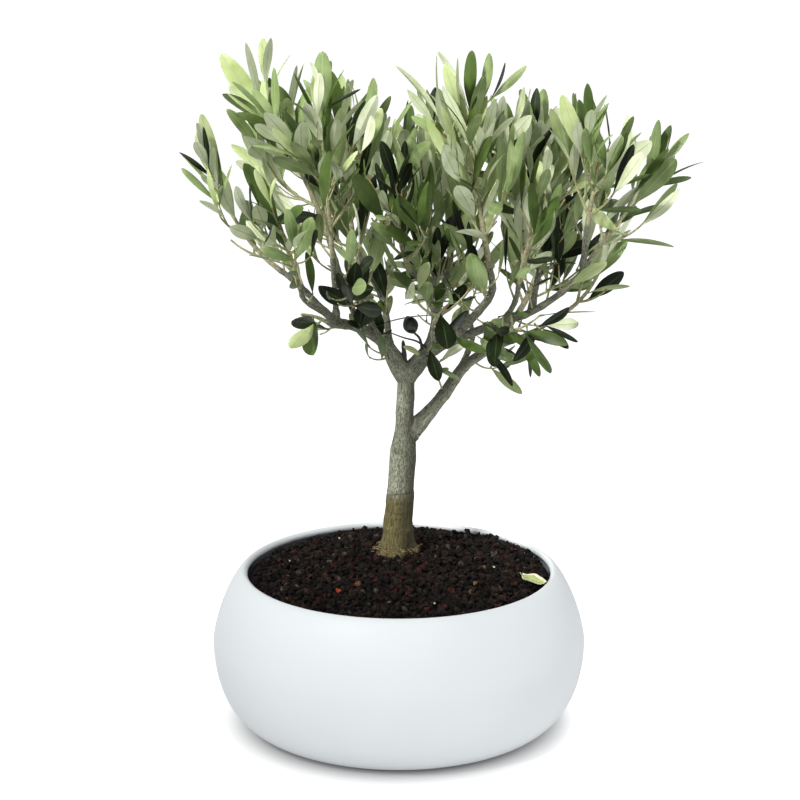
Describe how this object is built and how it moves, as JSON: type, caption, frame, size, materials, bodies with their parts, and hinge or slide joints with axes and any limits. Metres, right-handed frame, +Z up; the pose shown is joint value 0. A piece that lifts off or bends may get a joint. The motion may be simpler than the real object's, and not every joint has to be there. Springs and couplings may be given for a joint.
{
  "type": "potted olive tree",
  "caption": "Young olive tree with a forked trunk and an open crown of slender leathery leaves, in a squat round glazed bowl filled with dark gravel.",
  "frame": {"origin": "middle of the bowl's flat underside", "axes": "+Z up, -Y towards the front of the picture, +X towards its right"},
  "size_m": [0.3342, 0.2773, 0.4404],
  "materials": {
    "glaze": "glossy white glaze",
    "gravel": "rough dark lava gravel",
    "bark": "finely fissured grey-brown bark",
    "leaves": "satin dark green above, silvery green beneath",
    "olive": "satin, nearly black"
  },
  "bodies": {
    "root": {"bowl": "glaze", "centre_back_leaves": "leaves", "centre_back_limb": "bark", "centre_front_leaves": "leaves", "centre_front_limb": "bark", "centre_low_leaves": "leaves", "centre_low_limb": "bark", "far_left_leaves": "leaves", "far_right_leaves": "leaves", "fork_stub": "bark", "front_leaves": "leaves", "front_limb": "bark", "gravel": "gravel", "inner_left_leaves": "leaves", "inner_left_limb": "bark", "left_back_leaves": "leaves", "left_back_limb": "bark", "left_bough": "bark", "left_front_leaves": "leaves", "left_front_limb": "bark", "left_low_leaves": "leaves", "left_low_limb": "bark", "left_outer_limb": "bark", "left_rear_leaves": "leaves", "left_rear_limb": "bark", "left_tall_limb": "bark", "left_top_leaves": "leaves", "left_upper_limb": "bark", "low_right_bough": "bark", "middle_bough": "bark", "olive": "olive", "rear_leaves": "leaves", "rear_limb": "bark", "rear_low_leaves": "leaves", "rear_low_limb": "bark", "right_back_leaves": "leaves", "right_back_limb": "bark", "right_bough": "bark", "right_inner_leaves": "leaves", "right_inner_limb": "bark", "right_low_leaves": "leaves", "right_low_limb": "bark", "right_outer_leaves": "leaves", "right_outer_limb": "bark", "right_rear_leaves": "leaves", "right_tall_limb": "bark", "right_top_leaves": "leaves", "trunk": "bark", "upper_left_leaves": "leaves"}
  },
  "joints": []
}
